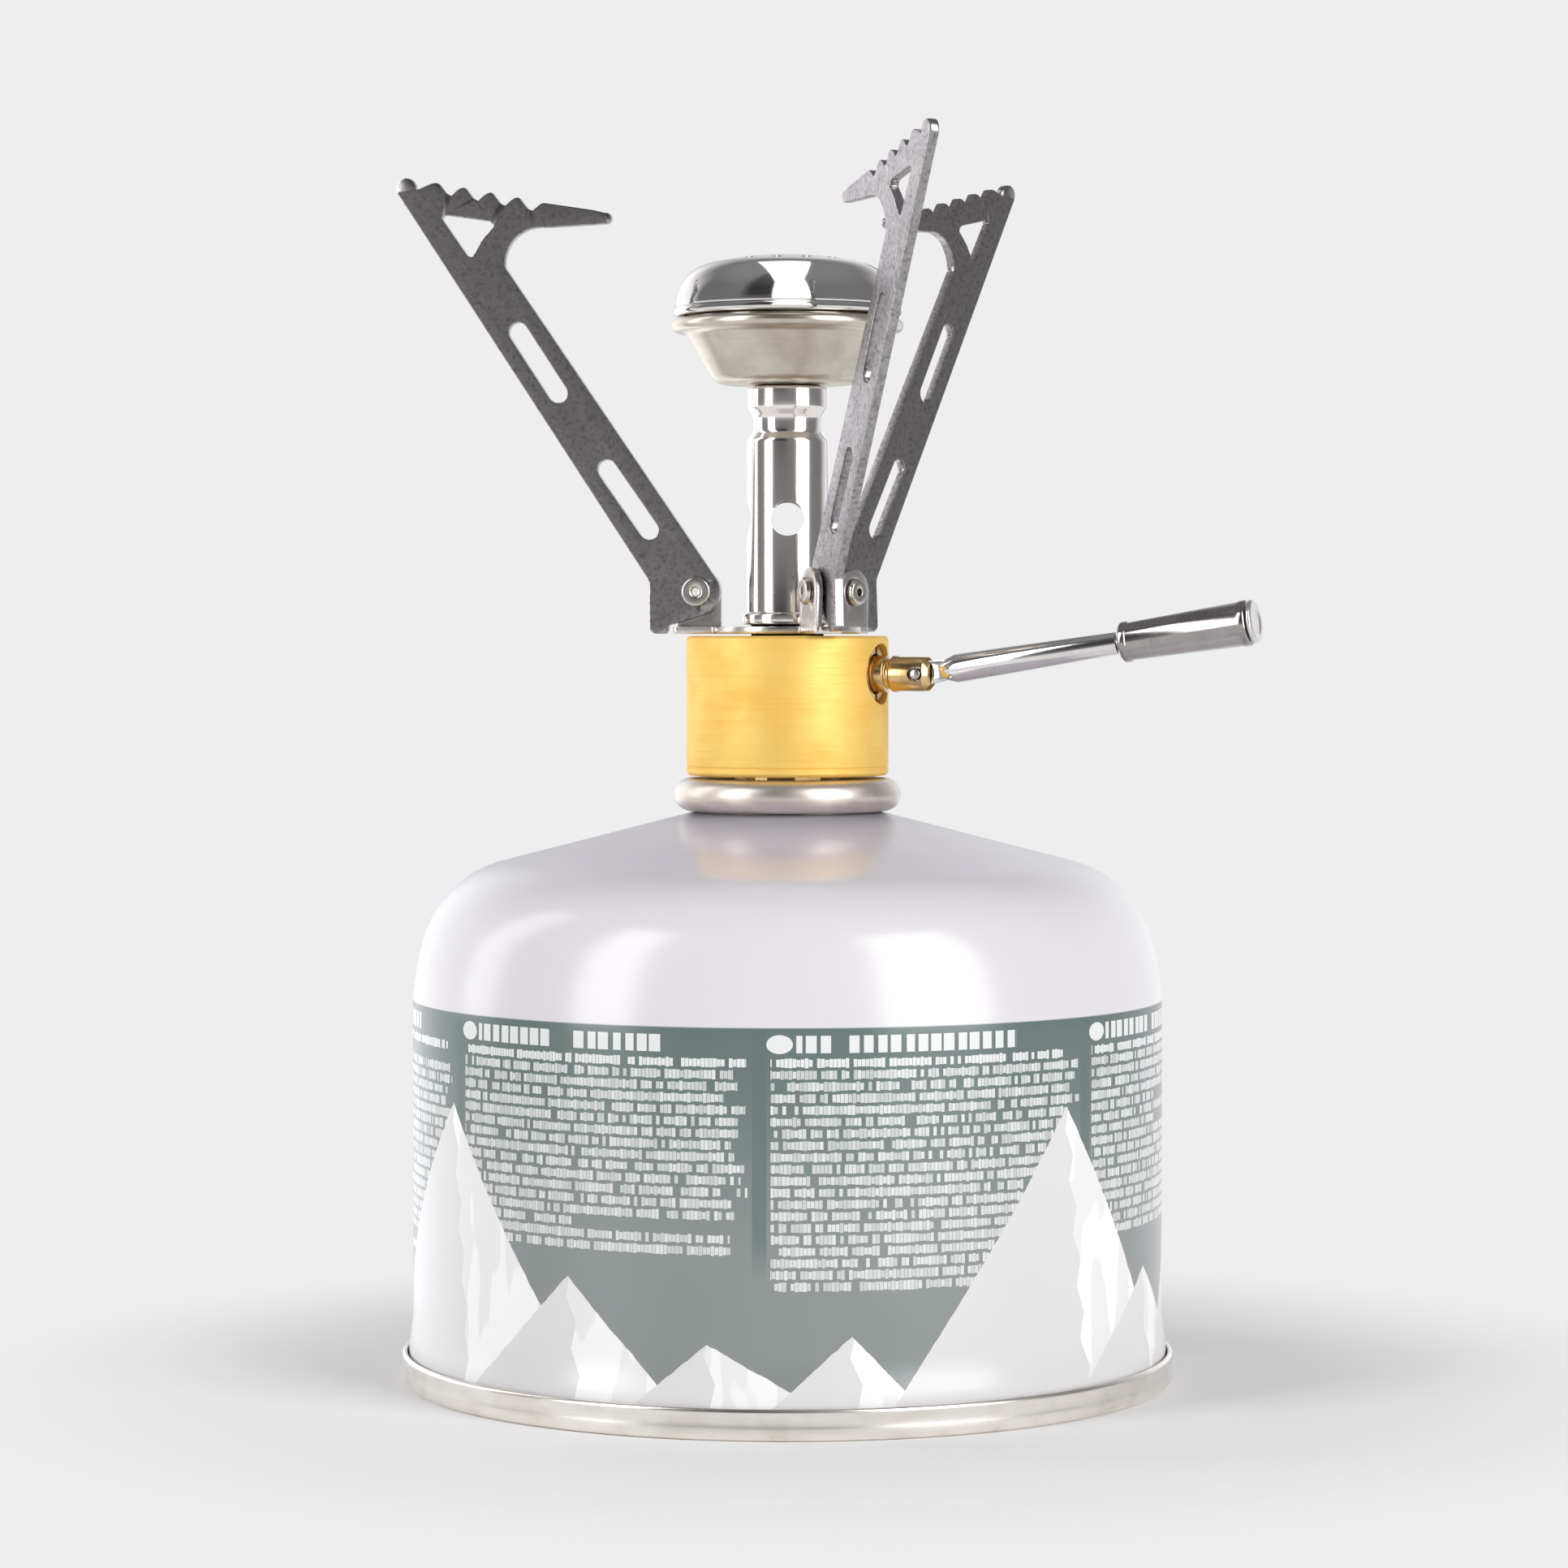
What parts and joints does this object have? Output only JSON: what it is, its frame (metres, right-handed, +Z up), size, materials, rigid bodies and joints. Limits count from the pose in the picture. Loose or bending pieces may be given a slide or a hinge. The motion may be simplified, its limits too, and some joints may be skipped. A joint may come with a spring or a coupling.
{
  "type": "camping stove",
  "caption": "Canister-top gas stove on its screw-on gas cartridge, with folding serrated pot arms, a round burner head and a wire-style tap handle.",
  "frame": {"origin": "middle of the whole object's box, on the surface that the cartridge stands on", "axes": "+Z up along the stove's axis, +X along the gas tap's spindle towards its handle, +Y across"},
  "size_m": [0.1258, 0.1104, 0.1745],
  "materials": {
    "cartridge_paint": null,
    "tinplate": "bare tinplate, bright with fine rolled marks",
    "satin_tin": "satin beige-grey tinplate",
    "seal_rubber": "matte black nitrile",
    "spring_steel": "plain drawn steel",
    "brass": "turned brass",
    "sintered_bronze": "porous sintered bronze",
    "gold_anodised": "gold anodised, satin with fine turning marks",
    "bright_steel": "polished stainless steel",
    "champagne_steel": "satin champagne-grey steel",
    "mirror_steel": "mirror-polished steel",
    "bracket_steel": "bright pressed steel",
    "arm_steel": "tumbled sheet steel, slightly grainy",
    "rivet_nickel": "nickel-plated tubular rivet"
  },
  "bodies": {
    "cartridge": {"cartridge_shell": "cartridge_paint", "cartridge_base": "tinplate", "cartridge_valve_cup": "satin_tin", "cartridge_valve_boss": "satin_tin", "cartridge_valve_gasket": "seal_rubber", "cartridge_valve_spring": "spring_steel"},
    "cartridge_valve": {"cartridge_valve_pin": "spring_steel"},
    "inlet_ring": {"inlet_seal": "seal_rubber"},
    "stove": {"inlet_insert": "brass", "opener_pin": "spring_steel", "inlet_filter": "sintered_bronze", "valve_body": "gold_anodised", "gas_jet": "brass", "mixing_tube": "bright_steel", "burner_cup": "champagne_steel", "burner_gauze": "spring_steel", "burner_cap": "mirror_steel", "arm_bracket": "bracket_steel", "arm_rivet_1": "rivet_nickel", "arm_rivet_2": "rivet_nickel", "arm_rivet_3": "rivet_nickel", "gland_nut": "brass"},
    "arm_1": {"pot_arm_1": "arm_steel"},
    "arm_2": {"pot_arm_2": "arm_steel"},
    "arm_3": {"pot_arm_3": "arm_steel"},
    "spindle_ring": {"spindle_seal": "seal_rubber"},
    "spindle": {"valve_spindle": "brass", "handle_pin": "bright_steel"},
    "handle": {"handle_rod": "bright_steel", "handle_knob": "bright_steel", "knob_cap": "bracket_steel"}
  },
  "joints": [
    {"name": "cartridge_valve_slide", "type": "slide", "parent": "cartridge", "child": "cartridge_valve", "axis": [0, 0, 1], "range_m": [0, 0.0015], "deforming": ["cartridge_valve_spring"]},
    {"name": "stove_rise", "type": "slide", "parent": "cartridge", "child": "inlet_ring", "axis": [0, 0, 1], "range_m": [0, 0.00545]},
    {"name": "stove_unscrew", "type": "hinge", "parent": "inlet_ring", "child": "stove", "pos_m": [-0.00704, 0, 0.088], "axis": [0, 0, 1], "range_deg": [0, 2160]},
    {"name": "arm_1_fold", "type": "hinge", "parent": "stove", "child": "arm_1", "pos_m": [-0.0198, -0.00295, 0.11261], "axis": [-0.225, 0.9744, 0], "range_deg": [0, 23]},
    {"name": "arm_2_fold", "type": "hinge", "parent": "stove", "child": "arm_2", "pos_m": [0.0019, -0.00958, 0.11261], "axis": [-0.7314, -0.682, 0], "range_deg": [-3, 20]},
    {"name": "arm_3_fold", "type": "hinge", "parent": "stove", "child": "arm_3", "pos_m": [-0.00321, 0.01253, 0.11261], "axis": [0.9563, -0.2924, 0], "range_deg": [-3, 20]},
    {"name": "tap_travel", "type": "slide", "parent": "stove", "child": "spindle_ring", "axis": [1, 0, 0], "range_m": [0, 0.001]},
    {"name": "flame_valve", "type": "hinge", "parent": "spindle_ring", "child": "spindle", "pos_m": [0.01326, 0, 0.10091], "axis": [1, 0, 0], "range_deg": [0, 720]},
    {"name": "handle_fold", "type": "hinge", "parent": "spindle", "child": "handle", "pos_m": [0.01326, 0, 0.10091], "axis": [0, -1, 0], "range_deg": [-50, 72]}
  ],
  "couplings": [
    {"joint": "stove_rise", "follows": "stove_unscrew", "m_per_rad": 0.00014435},
    {"joint": "cartridge_valve_slide", "follows": "stove_unscrew", "m_per_rad": 0.000039788},
    {"joint": "tap_travel", "follows": "flame_valve", "m_per_rad": 0.000079577}
  ]
}
